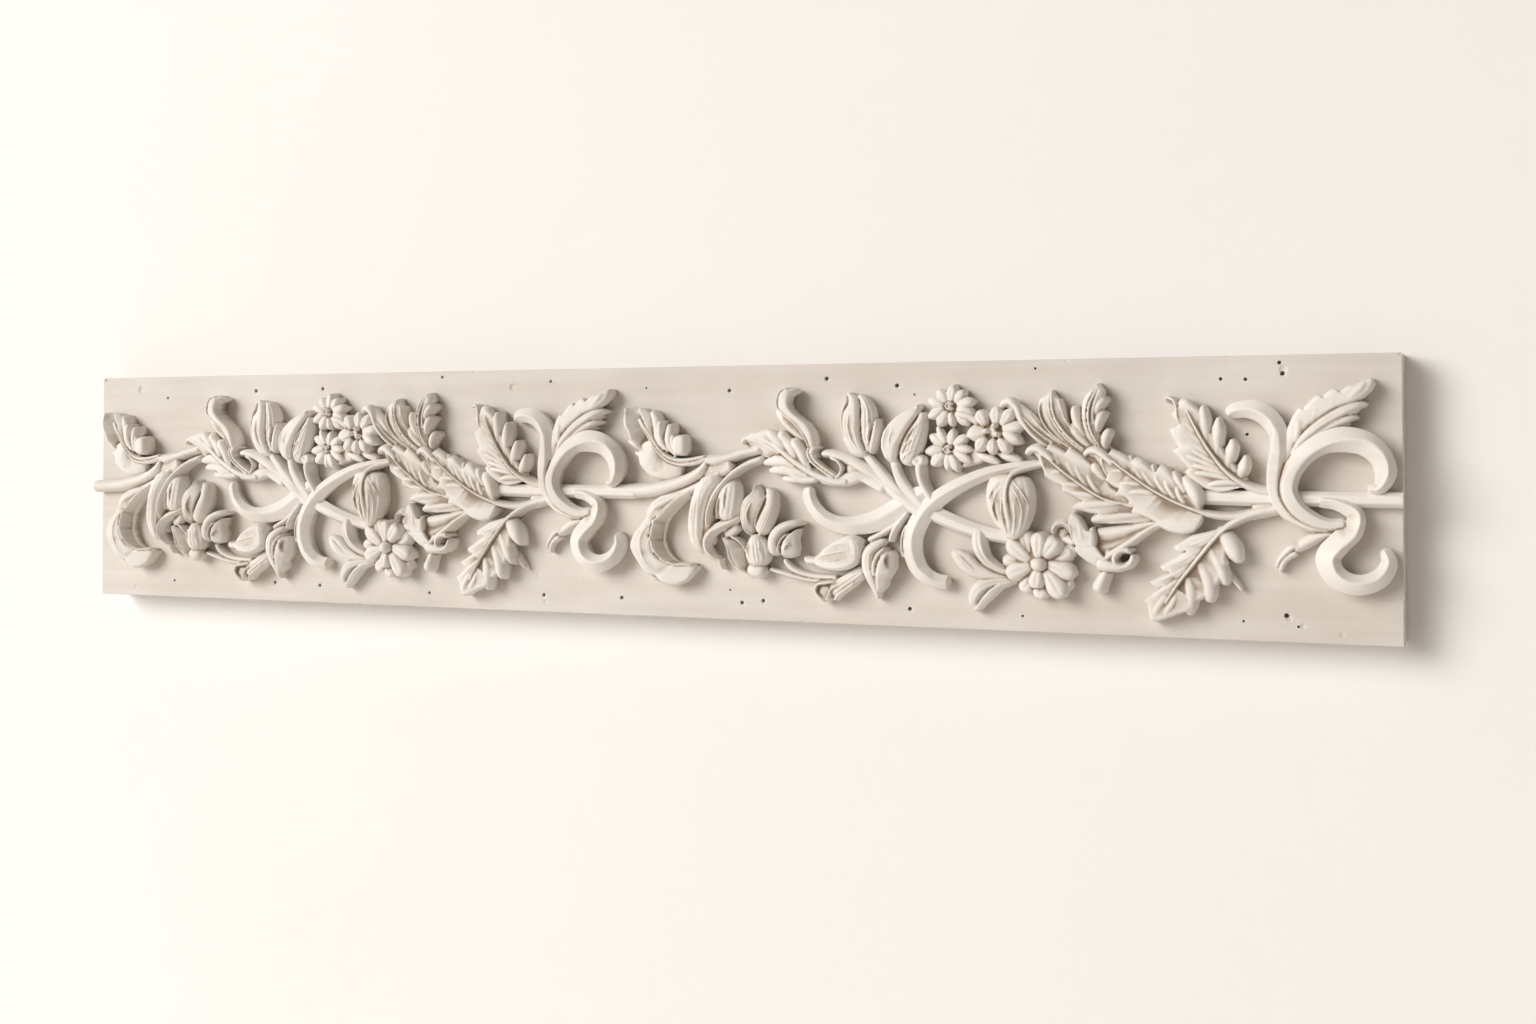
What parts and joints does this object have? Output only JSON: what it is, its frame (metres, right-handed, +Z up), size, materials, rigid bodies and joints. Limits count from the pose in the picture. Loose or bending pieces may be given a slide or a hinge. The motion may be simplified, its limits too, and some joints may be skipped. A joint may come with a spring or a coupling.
{
  "type": "carved frieze moulding",
  "caption": "Flat rectangular plaster frieze moulding with a running leaf, flower and ribbon scroll in relief, cut square at both ends, fixed flat to a wall.",
  "frame": {"origin": "centre of the flat back face, where it rests on the wall", "axes": "+X along the moulding to the right as seen from the front, -Y out of the wall towards the viewer, +Z up"},
  "size_m": [1.136, 0.052, 0.2],
  "materials": {
    "painted_plaster": "matt warm off-white painted plaster"
  },
  "bodies": {
    "root": {"frieze_moulding": "painted_plaster"}
  },
  "joints": []
}
